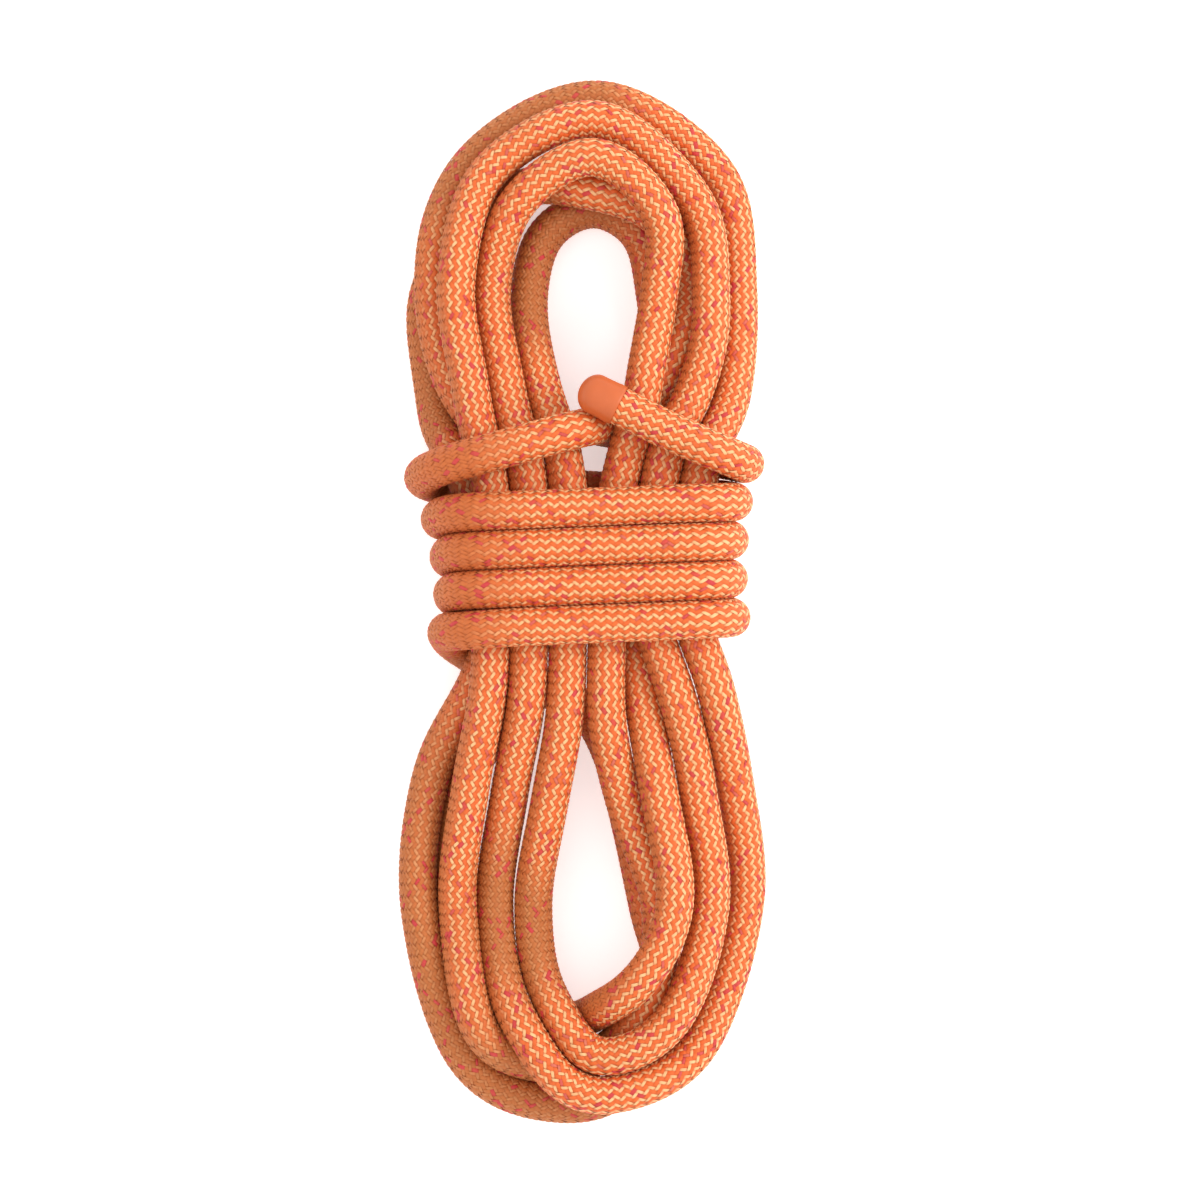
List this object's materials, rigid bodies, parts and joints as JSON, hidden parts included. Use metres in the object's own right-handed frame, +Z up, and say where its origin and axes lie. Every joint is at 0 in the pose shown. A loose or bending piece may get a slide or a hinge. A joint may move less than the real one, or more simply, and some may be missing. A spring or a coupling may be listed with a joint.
{
  "type": "dynamic climbing rope",
  "caption": "Kernmantle climbing rope tied in a flat hank, its loops bound at the waist by wraps, with an eye above and below and a sealed end tucked over the top wrap.",
  "frame": {"origin": "centre of the hank on the surface it lies on", "axes": "+Y along the hank towards the rope's end, +X across it to the right, +Z up from the surface"},
  "size_m": [0.099, 0.284, 0.0421],
  "materials": {
    "sheath": "braided polyamide sheath, orange with paler and red flecks",
    "core_yarn": "white twisted polyamide core strands",
    "marker_tape": "thin woven marker tape",
    "sealed_end": "heat-sealed and dipped rope end, smooth"
  },
  "bodies": {
    "root": {"upper_bight_1": "sheath", "upper_bight_2": "sheath", "upper_bight_3": "sheath", "upper_bight_4": "sheath", "upper_bight_5": "sheath", "lower_bight_1": "sheath", "lower_bight_2": "sheath", "lower_bight_3": "sheath", "lower_bight_4": "sheath", "lower_bight_5": "sheath", "wrap_turn_1": "sheath", "wrap_turn_2": "sheath", "wrap_turn_3": "sheath", "wrap_turn_4": "sheath", "finishing_turn": "sheath", "tail_sheath": "sheath", "core_strand_1": "core_yarn", "core_strand_2": "core_yarn", "core_strand_3": "core_yarn", "core_strand_4": "core_yarn", "core_strand_5": "core_yarn", "core_strand_6": "core_yarn", "core_strand_7": "core_yarn", "core_strand_8": "core_yarn", "core_strand_9": "core_yarn", "core_strand_10": "core_yarn", "marker_tape": "marker_tape", "tail_end_cap": "sealed_end", "start_end_cap": "sealed_end"}
  },
  "joints": []
}
